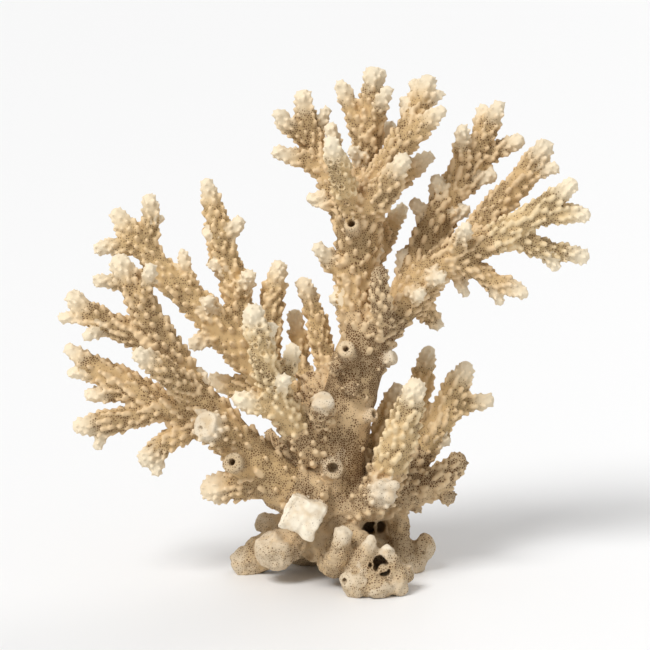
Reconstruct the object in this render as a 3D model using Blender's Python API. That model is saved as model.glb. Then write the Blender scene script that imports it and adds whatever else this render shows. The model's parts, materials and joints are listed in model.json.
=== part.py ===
"""A bleached branching coral that stands on its own broken holdfast.

Every branch is a smooth course through a few points (x, y, z, radius) in millimetres.
x runs to the right of the front view, y runs to the back and z runs up from the rest.
A course starts inside the branch that carries it. Its last point is the middle of its tip.
"""

import math

import bmesh
import bpy
import numpy as np
from mathutils import Matrix, Vector, noise

MM = 0.001

# Driving dimensions, in millimetres
GAP = 0.3
THIN_RING_STEP = 8.0
THICK_RING_STEP = 9.5
THIN_RADIUS = 6.7
STOUT_RADIUS = 9.2
KNOB_HEIGHT = 1.9
KNOB_LEAN = 1.5
TRUNK_KNOB_HEIGHT = 0.9
ARM_KNOB_HEIGHT = 1.3
# A round tip ends this many radii past its middle, in a face of this many radii
TIP_REACH = 0.85
TIP_FACE = 0.55
# A broken face lies this many radii past the end of its course
BROKEN_REACH = 0.5
REST_LEVEL = 0.0
LUMP_ROUGHNESS = 0.32
LUMP_WAVELENGTH = 7.0
CUTTER_REACH = 90.0
WELD_DISTANCE = 0.01

# The object's box is centred on the origin by this shift, in millimetres
CENTRE_SHIFT = Vector((-0.85, 2.25, 0.0))

# Colours of the bare skeleton, from the pale broken foot to the tan of the sheltered twigs
BONE = (0.80, 0.73, 0.62, 1)
SAND = (0.74, 0.62, 0.45, 1)
TAN = (0.66, 0.51, 0.33, 1)
CREAM = (0.85, 0.77, 0.63, 1)
SKELETON_ROUGHNESS = 0.85
SMOOTH_SHADING_DEGREES = 50

SAMPLES_PER_SPAN = 12
TANGENT_STEP = 0.4
# A curve's mesh starts with its two caps, and its rings follow
CAPS = 2

pieces = {}


def clear_scene():
    for obj in list(bpy.data.objects):
        bpy.data.objects.remove(obj)


def add_piece(name, colour, course, cut=0.0, twigs=(), broken=(), knob=KNOB_HEIGHT):
    """Notes one piece of the coral. It is parted from what carries it `cut` mm along its course."""
    pieces[name] = {
        "colour": colour,
        "course": smooth(course),
        "cut": cut,
        "twigs": [smooth(points) for points in twigs],
        "broken": [smooth(points) for points in broken],
        "knob": knob,
    }


def smooth(points):
    """Close samples of the curve that runs through the points, with the length run so far in front."""
    points = np.array(points, float)
    padded = np.vstack([2 * points[0] - points[1], points, 2 * points[-1] - points[-2]])
    samples = []
    for before, start, finish, after in zip(padded, padded[1:], padded[2:], padded[3:]):
        for t in np.arange(SAMPLES_PER_SPAN) / SAMPLES_PER_SPAN:
            pull = 2 * start + (finish - before) * t
            pull += (2 * before - 5 * start + 4 * finish - after) * t**2
            pull += (3 * start - before - 3 * finish + after) * t**3
            samples.append(pull / 2)
    samples.append(points[-1])
    samples = np.array(samples)
    steps = np.linalg.norm(np.diff(samples[:, :3], axis=0), axis=1)
    return np.column_stack([np.concatenate([[0], np.cumsum(steps)]), samples])


def length_of(course):
    return course[-1, 0]


def at(course, distance):
    """The middle and the radius of a branch at a distance along it."""
    x, y, z, radius = (np.interp(distance, course[:, 0], course[:, column]) for column in range(1, 5))
    return Vector((x, y, z)), radius


def heading(course, distance):
    low = max(distance - TANGENT_STEP, 0)
    high = min(distance + TANGENT_STEP, length_of(course))
    return (at(course, high)[0] - at(course, low)[0]).normalized()


def rings_along(course, start, stop, end):
    """Ring middles and radii from start to stop, with the gap left in front of a start that is cut.

    The end is a round tip, a broken face or a flat cut.
    """
    mean_radius = at(course, (start + stop) / 2)[1]
    ring_step = THIN_RING_STEP if mean_radius < THIN_RADIUS else THICK_RING_STEP
    spans = max(round((stop - start) / ring_step), 1)
    rings = [at(course, distance) for distance in np.linspace(start, stop, spans + 1)]
    step = (stop - start) / spans
    first, last = heading(course, start), heading(course, stop)
    if start:
        rings[0] = (rings[0][0] + first * GAP, rings[0][1])
        rings[1] = (rings[0][0] + first * step, rings[1][1])
    if end == "cut" and spans > 1:
        rings[-2] = (rings[-1][0] - last * step, rings[-2][1])
    middle, radius = rings[-1]
    if end == "tip":
        rings.append((middle + last * radius * TIP_REACH, radius * TIP_FACE))
    if end == "broken":
        rings.append((middle + last * radius * BROKEN_REACH, radius))
    return rings


def branch_mesh(name, rings, knob, plain_rings):
    """A closed tube through the rings, with every other corner drawn out and forward as a knob."""
    sides = 8 if max(radius for _, radius in rings) > STOUT_RADIUS else 6
    curve = bpy.data.curves.new(name, "CURVE")
    curve.dimensions = "3D"
    curve.bevel_depth = MM
    curve.bevel_resolution = (sides - 4) // 2
    curve.use_fill_caps = True
    spline = curve.splines.new("POLY")
    spline.points.add(len(rings) - 1)
    for point, (middle, radius) in zip(spline.points, rings):
        point.co = (*((middle + CENTRE_SHIFT) * MM), 1)
        point.radius = radius
    guide = bpy.data.objects.new(name, curve)
    bpy.context.scene.collection.objects.link(guide)
    graph = bpy.context.evaluated_depsgraph_get()
    mesh = bpy.data.meshes.new_from_object(guide.evaluated_get(graph))
    bpy.data.objects.remove(guide)
    bpy.data.curves.remove(curve)
    raise_knobs(mesh, rings, sides, knob, plain_rings)
    weld(mesh)
    return mesh


def raise_knobs(mesh, rings, sides, knob, plain_rings):
    first_plain, last_plain = plain_rings
    for row in range(first_plain, len(rings) - last_plain):
        middle = (rings[row][0] + CENTRE_SHIFT) * MM
        forward = (rings[row + 1][0] - rings[row - 1][0]).normalized()
        for corner in range(row % 2, sides, 2):
            vertex = mesh.vertices[(CAPS + row) * sides + corner]
            outward = (vertex.co - middle).normalized()
            vertex.co += outward * knob * MM + forward * KNOB_LEAN * MM


def weld(mesh):
    shape = bmesh.new()
    shape.from_mesh(mesh)
    bmesh.ops.remove_doubles(shape, verts=shape.verts, dist=WELD_DISTANCE * MM)
    bmesh.ops.recalc_face_normals(shape, faces=shape.faces)
    shape.to_mesh(mesh)
    shape.free()


def add_object(name, mesh, collection):
    obj = bpy.data.objects.new(name, mesh)
    collection.objects.link(obj)
    return obj


def hide_helper(obj):
    obj.hide_render = True
    obj.display_type = "WIRE"


def boolean(target, collection, operation):
    modifier = target.modifiers.new(operation.title(), "BOOLEAN")
    modifier.operation = operation
    modifier.operand_type = "COLLECTION"
    modifier.collection = collection
    modifier.solver = "EXACT"


def helper_collection(name):
    collection = bpy.data.collections.new(name)
    helpers.children.link(collection)
    return collection


def skeleton_material(name, colour):
    material = bpy.data.materials.new(name)
    material.use_nodes = True
    shader = material.node_tree.nodes["Principled BSDF"]
    shader.inputs["Base Color"].default_value = colour
    shader.inputs["Roughness"].default_value = SKELETON_ROUGHNESS
    shader.inputs["Metallic"].default_value = 0
    return material


def build_piece(name, carried):
    """One solid: its own stem and twigs, and the stumps of the pieces that it carries."""
    piece = pieces[name]
    course, knob = piece["course"], piece["knob"]
    joined = helper_collection(name + "_joined")
    end = "cut" if carried else "tip"
    rings = rings_along(course, piece["cut"], length_of(course), end)
    obj = add_object(name, branch_mesh(name, rings, knob, (2, 2)), coral)
    for number, twig in enumerate(piece["twigs"], 1):
        rings = rings_along(twig, 0, length_of(twig), "tip")
        mesh = branch_mesh(f"{name}_twig_{number}", rings, knob, (1, 1))
        hide_helper(add_object(mesh.name, mesh, joined))
    for number, stub in enumerate(piece["broken"], 1):
        rings = rings_along(stub, 0, length_of(stub), "broken")
        mesh = branch_mesh(f"{name}_stub_{number}", rings, knob / 2, (1, 2))
        hide_helper(add_object(mesh.name, mesh, joined))
    for child in carried:
        rings = rings_along(pieces[child]["course"], 0, pieces[child]["cut"], "cut")
        mesh = branch_mesh(f"{name}_to_{child}", rings, knob, (2, 2))
        hide_helper(add_object(mesh.name, mesh, joined))
    obj.data.shade_smooth()
    obj.data.set_sharp_from_angle(angle=math.radians(SMOOTH_SHADING_DEGREES))
    obj.data.materials.append(skeleton_material(name, piece["colour"]))
    return obj


def lump(name, middle, radii, collection):
    """A rough rounded mass of skeleton."""
    shape = bmesh.new()
    bmesh.ops.create_icosphere(shape, subdivisions=2, radius=1)
    for vertex in shape.verts:
        place = Vector(middle) + Vector([a * b for a, b in zip(vertex.co, radii)])
        swell = 1 + LUMP_ROUGHNESS * noise.noise(place / LUMP_WAVELENGTH)
        vertex.co = vertex.co * swell
    place = Matrix.Translation((Vector(middle) + CENTRE_SHIFT) * MM)
    shape.transform(place @ Matrix.Diagonal((*(radius * MM for radius in radii), 1)))
    mesh = bpy.data.meshes.new(name)
    shape.to_mesh(mesh)
    shape.free()
    hide_helper(add_object(name, mesh, collection))


def slab_below(name, level, collection):
    """A cutter that takes away everything below a level."""
    shape = bmesh.new()
    bmesh.ops.create_cube(shape, size=1)
    size = Matrix.Diagonal((2 * CUTTER_REACH * MM, 2 * CUTTER_REACH * MM, CUTTER_REACH * MM, 1))
    shape.transform(Matrix.Translation((0, 0, (level - CUTTER_REACH / 2) * MM)) @ size)
    mesh = bpy.data.meshes.new(name)
    shape.to_mesh(mesh)
    shape.free()
    hide_helper(add_object(name, mesh, collection))


def pit(name, points, collection):
    """A cutter for a hollow, along a short course into the skeleton."""
    course = smooth(points)
    rings = rings_along(course, 0, length_of(course), "tip")
    hide_helper(add_object(name, branch_mesh(name, rings, 0, (1, 1)), collection))


clear_scene()
coral = bpy.data.collections.new("branching_coral")
helpers = bpy.data.collections.new("joined_and_cut_shapes")
bpy.context.scene.collection.children.link(coral)
bpy.context.scene.collection.children.link(helpers)

# Holdfast: the feet that grip the reef, cut flat at the ground, and the broken stubs between them
HOLDFAST_FEET = [
    [(-6, 2, 17, 9), (-21, 3, 10, 8), (-33, 4, 2, 6.5)],
    [(8, -12, 17, 10), (17, -28, 9, 10), (20, -35, 1, 9.5)],
    [(12, 6, 9, 8), (29, 5, 5, 6.5), (38, 7, 3, 6)],
    [(1, 6, 15, 9), (-9, 22, 3, 8)],
    [(8, 6, 15, 9), (22, 21, 3, 8)],
]
HOLDFAST_STUBS = [
    [(-2, -8, 28, 8), (-8, -25, 28, 6.5)],
    [(-8, 3, 18, 6), (-19, 8, 18, 5), (-25, 10, 19, 4)],
    [(5, -20, 10, 7), (7, -31, 21, 4.5)],
    [(19, -32, 10, 6), (19, -32, 20, 3.5)],
    [(28, 4, 32, 5), (31, 3, 17, 4.5), (33, 5, 5, 6)],
]
HOLDFAST_LUMPS = [
    ((-15, -13, 14), (10, 9.5, 8.5)),
    ((21, 13, 15), (9, 6, 12)),
]
HOLDFAST_HOLE = [(24, -48, 12, 3.5), (22, -36, 10, 2.5)]

# Trunk: one thick stem that leans to the right. The holdfast and a low right finger are part of it
add_piece(
    "trunk",
    BONE,
    [
        (4, 0, 8, 15), (4, 0, 31, 14), (4, -1, 46, 13), (8, -1, 62, 11.5), (11, 0, 75, 11),
        (14, 0, 88, 11), (18, 0, 98, 10.5),
    ],
    twigs=[
        [(-4, -2, 56, 4), (-18, 6, 51, 3), (-22, 10, 56, 2.5)],
        [(20, -2, 99, 6), (23, -12, 108, 4.5), (22, -18, 119, 4), (22, -20, 127, 3)],
        [(23, 5, 31, 9), (41, 3, 36, 6.5), (49, 2, 41, 5.5), (54, 2, 46, 4.5)],
    ],
    broken=[
        [(12, -2, 87, 6), (9, -18, 96, 4)],
        [(4, -4, 45, 5), (4, -17, 48, 4)],
        [(2, -4, 62, 6), (0, -18, 70, 4.8), (0, -25, 78, 4)],
        [(10, -2, 28, 9), (17, -10, 32, 8), (24, -22, 40, 5.5)],
        *HOLDFAST_FEET,
        *HOLDFAST_STUBS,
    ],
    knob=TRUNK_KNOB_HEIGHT,
)

# Left arm: a stout low limb with broken stubs, which forks in three
add_piece(
    "left_arm",
    SAND,
    [
        (-2, -8, 34, 11), (-15, -12, 39, 10.5), (-27, -14, 50, 9.5), (-38, -16, 62, 8.5),
        (-47, -18, 73, 8), (-53, -19, 81.5, 6.4),
    ],
    cut=15,
    twigs=[
        [(-53, -20, 80, 5.5), (-58, -28, 86, 5), (-63, -35, 92, 4.5), (-71, -40, 98, 3.5)],
        [(-46, -16, 68, 5.5), (-61, -20, 60, 4.5), (-70, -22, 53, 4)],
    ],
    broken=[
        [(-38, -18, 62, 7), (-48, -33, 67, 5)],
        [(-31, -16, 48, 5.5), (-36, -29, 53, 4)],
        [(-25, -13, 46, 8), (-36, -14, 40, 6), (-44, -15, 39, 5.5)],
    ],
    knob=ARM_KNOB_HEIGHT,
)
add_piece(
    "left_arm_upper",
    SAND,
    [(-53, -19, 80, 6.5), (-60, -20, 94, 6.5), (-68, -22, 109, 6), (-74, -24, 121, 5), (-79, -26, 132, 4)],
    cut=15.5,
    twigs=[[(-72, -23, 116, 4), (-68, -30, 126, 3), (-67, -34, 131, 2.5)]],
)
add_piece(
    "left_arm_finger",
    SAND,
    [(-62, -20, 97, 6), (-78, -20, 104, 5), (-90, -20, 110, 4.5), (-98, -20, 117, 3.5)],
    cut=17.5,
    twigs=[
        [(-88, -20, 109, 3.5), (-102, -20, 109, 2.5)],
    ],
)
add_piece(
    "left_arm_lower",
    SAND,
    [
        (-48, -17, 71, 7), (-63, -18, 74, 5.9), (-76, -18, 81, 5.5), (-90, -18, 89, 4.5),
        (-100, -18, 96, 3),
    ],
    cut=12.5,
    twigs=[
        [(-84, -18, 85, 3.5), (-99, -18, 87, 2.5)],
        [(-74, -18, 79, 4), (-92, -19, 78, 3)],
        [(-65.5, -18, 74, 5.5), (-76, -20, 69, 4.5), (-88, -22, 67, 4.5), (-96, -22, 66, 3.5)],
        [(-86, -22, 67, 3.5), (-89, -22, 58, 2.5)],
    ],
)

# Front branch: a pale branch that stands forward of the trunk, with open cups on its face
add_piece(
    "front_branch",
    CREAM,
    [(-4, -7, 52, 9), (-13, -16, 68, 6.5), (-20, -24, 82, 5), (-24, -32, 98, 5), (-27, -37, 114, 4)],
    cut=17,
    twigs=[
        [(-15, -19, 72, 5.5), (-26, -24, 76, 4.5), (-33, -27, 78, 3.5)],
        [(-18, -22, 80, 4), (-15, -32, 87, 2.5)],
        [(-19, -23, 82, 4.5), (-13, -18, 91, 3.5), (-12, -16, 96, 3)],
        [(-25, -33, 102, 3.5), (-20, -30, 107, 2.5)],
    ],
)

# Left fan: the long back limb on the left, with its tall spire
add_piece(
    "left_fan",
    TAN,
    [
        (-1, 6, 58, 7.5), (-14, 11, 70, 7.5), (-25, 13, 82, 7.5), (-37, 13, 94, 7),
        (-48, 13, 106, 6.5), (-58, 13, 115, 6), (-68, 13, 126, 5), (-76, 14, 136, 4.5),
        (-83, 14, 145, 3.5),
    ],
    cut=18,
    twigs=[
        [(-72, 14, 131, 4.5), (-70, 16, 141, 3.5), (-70, 17, 151, 3)],
        [(-74, 14, 133, 4.5), (-83, 13, 133, 3.5), (-90, 12, 132, 3)],
        [(-66, 13, 123, 4.5), (-74, 12, 119, 3.5), (-82, 12, 118, 3), (-91, 12, 119, 3)],
        [(-41, 13, 98, 4.5), (-52, 12, 93, 3.5)],
        [(-21, 13, 78, 5), (-36, 22, 73, 4.5), (-45, 25, 75, 3.5)],
        [(-24, 14, 81, 5.5), (-22, 15, 97, 5), (-21, 15, 111, 4.5), (-18, 14, 124, 3.5)],
        [(-47, 12, 105, 5), (-53, 27, 108, 4.5), (-56, 35, 116, 3.5)],
    ],
)
add_piece(
    "left_spire",
    TAN,
    [
        (-28, 14, 85, 7), (-33, 18, 104, 6), (-38, 19, 122, 5.5), (-42, 19, 137, 5),
        (-45, 19, 149, 4), (-47, 18, 157, 3),
    ],
    cut=24,
    twigs=[
        [(-41, 19, 134, 4), (-34, 16, 142, 3)],
        [(-34, 18, 112, 4), (-30, 9, 121, 3)],
    ],
)

# Two thin twigs that show between the left fan and the trunk
add_piece(
    "inner_twig_tall",
    TAN,
    [(7, 6, 73, 5), (1, 14, 86, 4.5), (-3, 18, 102, 4), (-8, 20, 116, 3.5)],
    cut=14,
)
add_piece(
    "inner_twig_short",
    TAN,
    [(2, 5, 71, 5), (-8, 18, 80, 3.5), (-10, 24, 91, 3.5), (-12, 27, 102, 3)],
    cut=16,
)

# Crown: the upright stem and the fingers that spread from its head
add_piece(
    "crown_stem",
    SAND,
    [(17, 0, 95, 8), (12, 1, 111, 7), (13, 2, 127, 7.5), (14, 2, 138, 9), (14, 2, 150, 9)],
    cut=15,
    twigs=[
        [(14, 2, 123, 6), (23, 20, 133, 4.5), (32, 31, 145, 3)],
        [(13, 1, 121, 5.5), (4, -1, 128, 4), (-2, -3, 134, 3)],
        [(15, -1, 148, 7), (24, -13, 159, 5.5), (31, -19, 171, 3.5)],
        [(16, 3, 149, 6.5), (31, 12, 161, 4.5), (42, 16, 168, 3)],
        [(14, 3, 138, 6.5), (15, 18, 148, 5), (16, 27, 160, 4.5), (15, 33, 172, 3.5)],
    ],
)
add_piece(
    "crown_left",
    SAND,
    [(12, 4, 143, 7.5), (5, 9, 157, 6.5), (-2, 12, 170, 5), (-6, 12, 180, 4.5), (-8, 12, 193, 3.5)],
    cut=19,
    twigs=[
        [(-5, 12, 176, 4.5), (-13, 10, 181, 3.5), (-18, 9, 186, 3)],
        [(0, 11, 166, 5), (-11, 9, 169, 3.5), (-18, 8, 171, 3)],
        [(1, 10, 164, 4), (4, 6, 174, 3), (3, 6, 181, 3)],
    ],
)
add_piece(
    "crown_front",
    CREAM,
    [(12, -2, 147, 6), (7, -16, 164, 4.5), (3, -24, 178, 3.5)],
    cut=15,
)
add_piece(
    "crown_middle",
    SAND,
    [(15, 2, 148, 7), (16, 5, 161, 5.5), (18, 5, 175, 5), (19, 4, 190, 4.5), (19, 3, 203, 3.5)],
    cut=17,
    twigs=[
        [(18, 5, 170, 4.5), (11, 4, 189, 3.5), (7, 4, 198, 3)],
        [(19, 5, 181, 4), (23, -3, 192, 3), (25, -5, 197, 2.5)],
        [(17, 4, 175, 3.5), (23, 13, 176, 3), (27, 16, 180, 3)],
    ],
)
add_piece(
    "crown_right",
    SAND,
    [(15, 0, 148, 7), (22, -4, 162, 5.5), (29, -4, 175, 4.5), (36, -1, 187, 4.5), (41, 2, 200, 3.5)],
    cut=20,
    twigs=[
        [(37, 0, 189, 3.5), (36, 5, 199, 2.5)],
        [(38, 0, 192, 3.5), (46, 2, 195, 2.5)],
        [(28, -4, 172, 5), (38, -7, 182, 4), (46, -8, 189, 3)],
    ],
)

# Right arm: the long limb that reaches to the upper right
add_piece(
    "right_arm",
    SAND,
    [(19, 0, 99, 9.5), (30, -1, 110, 8), (40, -3, 121, 7.5), (51, -5, 131, 6.5), (61, -6, 136, 6)],
    cut=15,
    twigs=[
        [(50, -5, 130, 5.5), (57, -6, 128, 4.5), (67, -6, 122, 3.5), (79, -8, 117, 3)],
        [(50, -5, 129, 4.5), (56, -18, 145, 2.5)],
        [(37, -2, 118, 5), (42, 10, 106, 4), (46, 18, 100, 3)],
        [(36, -1, 117, 4.5), (33, 5, 123, 3.5), (32, 7, 130, 3)],
        [(49, -6, 130, 5), (56, 10, 130, 4.5), (59, 24, 135, 3.5)],
    ],
)
add_piece(
    "right_arm_upper",
    SAND,
    [
        (36, 0, 117, 8), (40, 7, 129, 7.5), (47, 10, 146, 7), (53, 13, 157, 5.5),
        (58, 14, 167, 5), (65, 14, 179, 4.5), (70, 14, 189, 3),
    ],
    cut=17,
    twigs=[
        [(63, 15, 175, 3.5), (64, 19, 187, 3)],
        [(56, 13, 163, 4), (55, 7, 180, 3)],
        [(57, 14, 163, 4.5), (68, 15, 170, 3.5), (78, 16, 175, 3)],
        [(52, 12, 154, 4.5), (61, 12, 159, 3), (67, 12, 161, 3)],
        [(49, 11, 149, 4.5), (45, 9, 160, 3)],
    ],
)
add_piece(
    "right_arm_high",
    SAND,
    [(56, -5, 134, 5.5), (62, 2, 141, 5.5), (69, 6, 149, 5.5), (79, 8, 160, 5), (88, 8, 173, 4)],
    cut=19.5,
    twigs=[[(79, 8, 160, 4), (87, 7, 164, 3), (92, 6, 165, 2.5)]],
)
add_piece(
    "right_arm_tip",
    CREAM,
    [(59, -6, 135, 6), (71, -7, 140, 6), (81, -8, 148, 4.5), (90, -9, 154, 4), (97, -10, 160, 3.5)],
    cut=9,
    twigs=[
        [(80, -8, 147, 4.5), (95, -8, 149, 4), (103, -8, 148, 3)],
        [(72, -7, 141, 5), (88, -4, 134, 4), (103, -3, 131, 3)],
    ],
)

# Low right group: the branch and the spires that rise from the trunk's low right fork
add_piece(
    "low_right_branch",
    TAN,
    [
        (12, 0, 27, 11), (23, 5, 31, 9.5), (31, 8, 38, 8), (39, 11, 48, 6.5), (48, 14, 62, 5.5),
        (54, 16, 74, 5), (58, 17, 82, 3.5),
    ],
    cut=39,
    twigs=[
        [(48, 14, 62, 4.5), (59, 17, 67, 3.5), (67, 18, 68, 3.5)],
        [(42, 12, 52, 4), (50, 13, 53, 2.5)],
    ],
)
add_piece(
    "low_right_front_spire",
    CREAM,
    [(21, -3, 33, 7.5), (27, -12, 50, 7), (32, -18, 66, 6), (36, -22, 81, 4.5)],
    cut=18,
)
add_piece(
    "low_right_back_spire",
    TAN,
    [(29, 8, 36, 6), (34, 22, 49, 5.5), (39, 28, 68, 5), (43, 31, 86, 3.5)],
    cut=20,
)
add_piece(
    "low_right_back_twig",
    TAN,
    [(15, 6, 33, 7), (22, 15, 50, 5), (27, 19, 64, 4.5), (30, 21, 72, 3.5)],
    cut=18,
)

# Back branches: the view from the front hides them behind the trunk and the arms
add_piece(
    "back_branch",
    SAND,
    [(10, 4, 74, 8), (14, 20, 88, 6.5), (15, 31, 104, 5.5), (14, 37, 119, 4)],
    cut=18,
)
add_piece(
    "back_branch_left",
    SAND,
    [(-1, 4, 47, 8.5), (-10, 21, 54, 6.5), (-20, 32, 65, 5), (-27, 37, 80, 4)],
    cut=19,
)
add_piece(
    "back_branch_right",
    SAND,
    [(6, 4, 46, 8), (9, 20, 54, 5.5), (13, 31, 64, 4.5), (16, 36, 76, 4)],
    cut=18,
)

# The pieces that each piece carries at its forks
CARRIES = {
    "trunk": [
        "left_arm",
        "front_branch",
        "left_fan",
        "inner_twig_tall",
        "inner_twig_short",
        "crown_stem",
        "right_arm",
        "low_right_branch",
        "low_right_front_spire",
        "low_right_back_spire",
        "low_right_back_twig",
        "back_branch",
        "back_branch_left",
        "back_branch_right",
    ],
    "left_arm": ["left_arm_upper", "left_arm_lower"],
    "left_arm_upper": ["left_arm_finger"],
    "left_fan": ["left_spire"],
    "crown_stem": ["crown_left", "crown_front", "crown_middle", "crown_right"],
    "right_arm": ["right_arm_upper", "right_arm_high", "right_arm_tip"],
}
built = {name: build_piece(name, CARRIES.get(name, ())) for name in pieces}
for number, (middle, radii) in enumerate(HOLDFAST_LUMPS, 1):
    lump(f"holdfast_lump_{number}", middle, radii, bpy.data.collections["trunk_joined"])
for name, obj in built.items():
    joined = bpy.data.collections[name + "_joined"]
    if joined.objects:
        boolean(obj, joined, "UNION")
cuts = helper_collection("trunk_cuts")
slab_below("ground_cut", REST_LEVEL, cuts)
pit("holdfast_hole", HOLDFAST_HOLE, cuts)
boolean(built["trunk"], cuts, "DIFFERENCE")
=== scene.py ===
"""A bleached branching coral that stands on its own broken holdfast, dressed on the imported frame.

Courses and sizes are in millimetres: x to the right, y to the back, z up from the rest.
Each branch is a smooth course of points (x, y, z, radius) that starts inside its carrier.
The branches are noted piece by piece, grown together as one skin, and parted at the forks.
"""

import json
import math
import random

import bmesh
import bpy
import numpy as np
from mathutils import Matrix, Vector, noise
from mathutils.bvhtree import BVHTree
from mathutils.kdtree import KDTree


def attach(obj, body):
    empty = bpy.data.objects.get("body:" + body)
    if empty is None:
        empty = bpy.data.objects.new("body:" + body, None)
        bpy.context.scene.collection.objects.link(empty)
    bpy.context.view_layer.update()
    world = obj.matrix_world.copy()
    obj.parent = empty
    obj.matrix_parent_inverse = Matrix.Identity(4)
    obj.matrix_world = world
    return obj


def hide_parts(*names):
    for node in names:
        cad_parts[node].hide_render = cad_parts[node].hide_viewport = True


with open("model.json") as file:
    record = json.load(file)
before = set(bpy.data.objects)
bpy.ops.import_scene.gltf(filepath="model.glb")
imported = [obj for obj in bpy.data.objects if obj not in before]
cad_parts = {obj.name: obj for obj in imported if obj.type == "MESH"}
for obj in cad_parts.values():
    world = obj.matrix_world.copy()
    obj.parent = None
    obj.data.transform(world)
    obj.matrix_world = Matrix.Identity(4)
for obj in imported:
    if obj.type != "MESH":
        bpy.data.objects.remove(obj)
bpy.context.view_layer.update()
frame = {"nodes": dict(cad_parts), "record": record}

# Trunk and holdfast
# One thick stem of dense, finely pored limestone that leans to the right, nearly bare of cups.
# Its foot spreads in broken lobes. Lost twigs have left white broken faces and open rings.
MM = 0.001
# The frame's origin is under the middle of the coral, this far from the stem's own zero
MIDDLE = Vector((-0.85, 2.25, 0.0))
SAMPLES_PER_SPAN = 10
branches = []
# Each hole is a point inside, its mouth, its radius and how deep it goes from the mouth
holes = []
# Each mass is the middle and the three radii of a rounded lump
masses = []
# Each crag is sharp broken rock: foot and top with the radius of each, its sides and its turn
crags = []


def course_through(points):
    """Samples (length so far, x, y, z, radius) of the smooth curve through the points."""
    points = np.array(points, float)
    points[:, :3] += MIDDLE
    padded = np.vstack([2 * points[0] - points[1], points, 2 * points[-1] - points[-2]])
    samples = []
    for before, start, finish, after in zip(padded, padded[1:], padded[2:], padded[3:]):
        for t in np.arange(SAMPLES_PER_SPAN) / SAMPLES_PER_SPAN:
            pull = 2 * start + (finish - before) * t
            pull += (2 * before - 5 * start + 4 * finish - after) * t**2
            pull += (3 * start - before - 3 * finish + after) * t**3
            samples.append(pull / 2)
    samples.append(points[-1])
    samples = np.array(samples)
    steps = np.linalg.norm(np.diff(samples[:, :3], axis=0), axis=1)
    return np.column_stack([np.concatenate([[0], np.cumsum(steps)]), samples])


def branch(piece, points, carrier=None, cut=0.0, end="tip", cups=1.0, style="knob"):
    """Notes one branch. Its first `cut` mm belong to its carrier. `cups` is how thick its cups are."""
    branches.append(
        {
            "piece": piece,
            "course": course_through(points),
            "carrier": carrier or piece,
            "cut": cut,
            "end": end,
            "cups": cups,
            "style": style,
        }
    )


def twigs(piece, courses, cups=1.0, style="knob"):
    for points in courses:
        branch(piece, points, cups=cups, style=style)


def broken_stubs(piece, courses, cups=0.0, end="worn"):
    """Stubs whose ends broke off: worn round since, or still a rough flat face."""
    for points in courses:
        branch(piece, points, end=end, cups=cups)


def open_ring(piece, points, hole_radius, hole_depth):
    """The stump of a twig that ends in a raised collar round an opening."""
    branch(piece, points, end="collar", cups=0.0)
    holes.append((points[-2][:3], points[-1][:3], hole_radius, hole_depth))


branch(
    "trunk",
    [
        (4, 0, 8, 15), (4, 0, 31, 14), (4, -1, 46, 13), (8, -1, 62, 11.5), (11, 0, 75, 11),
        (14, 0, 88, 11), (18, 0, 98, 10.5),
    ],
    end="fork",
    cups=0.1,
)
twigs(
    "trunk",
    [
        [(-4, -2, 56, 4), (-18, 6, 51, 3), (-22, 10, 56, 2.5)],
        [(20, -2, 99, 6), (23, -12, 108, 4.5), (22, -18, 119, 4), (22, -20, 127, 3)],
        [(43, 3, 37, 4.5), (51, 4, 31, 3)],
        [(24, 4, 29, 4), (39, 8, 25, 2)],
        [(11, 0, 76, 4), (11, -14, 79, 3)],
        [(9, 0, 86, 4), (5, -12, 88, 3)],
    ],
)
twigs("trunk", [[(23, 5, 31, 9), (41, 3, 36, 6.5), (49, 2, 41, 5.5), (54, 2, 46, 4.5)]])
broken_stubs(
    "trunk",
    [
        [(10, -2, 28, 9), (17, -10, 32, 8), (24, -22, 40, 5.5)],
    ],
    cups=0.5,
)
open_ring("trunk", [(12, -2, 87, 6), (9, -17.5, 95.8, 3.8)], 1.2, 1.6)
broken_stubs("trunk", [[(17, -2, 87, 4.5), (28, -8, 91, 3.2)]], cups=0.4, end="broken")
branch("trunk", [(2, -4, 62, 6), (-1, -16, 70, 5.2), (0, -25, 77, 4.4)], end="broken", style="cup")
open_ring("trunk", [(4, -4, 46, 5.5), (3.8, -15.5, 47.7, 4.6)], 2.1, 2.2)
open_ring("trunk", [(11, -4, 65, 3.5), (19, -10, 68, 3.2)], 1.4, 4)
# The holdfast: broken lobes, craggy peaks round an eroded hollow, and struts behind
broken_stubs(
    "trunk",
    [
        [(-6, 2, 17, 9), (-21, 3, 10, 8), (-33, 3, 3, 6.5)],
        [(-4, -6, 22, 8), (-12, -10, 17, 7.5), (-18, -14, 13, 7)],
        [(8, -12, 17, 10), (15, -23, 11, 9.5), (17, -29, 6, 8)],
        [(12, 6, 9, 8), (29, 5, 5, 6.5), (38, 6, 3, 6)],
        [(1, 6, 15, 9), (-9, 22, 3, 8)],
        [(8, 6, 15, 9), (22, 21, 3, 8)],
        [(-2, -8, 28, 8), (-7, -21, 31, 6)],
        [(-8, 3, 18, 6), (-19, 8, 18, 5), (-25, 10, 19, 4)],
        [(4, -18, 10, 7), (5.5, -28, 15, 5.2), (7.2, -31, 25, 4.2)],
        [(15, -25, 10, 6), (17, -30, 15, 5.4), (19.2, -31.5, 22.5, 2.8)],
        [(22, -24, 10, 6), (25.5, -30, 12, 5), (24.8, -31, 18, 2.8)],
        [(22, -24, 9, 6), (28.5, -29, 9, 5), (29, -31, 3, 4.6)],
        [(24, -24, 8, 6), (33, -26, 7, 4.2)],
        [(28, 4, 32, 5), (31, 3, 17, 4.5), (33, 5, 5, 6)],
    ],
)
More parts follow.
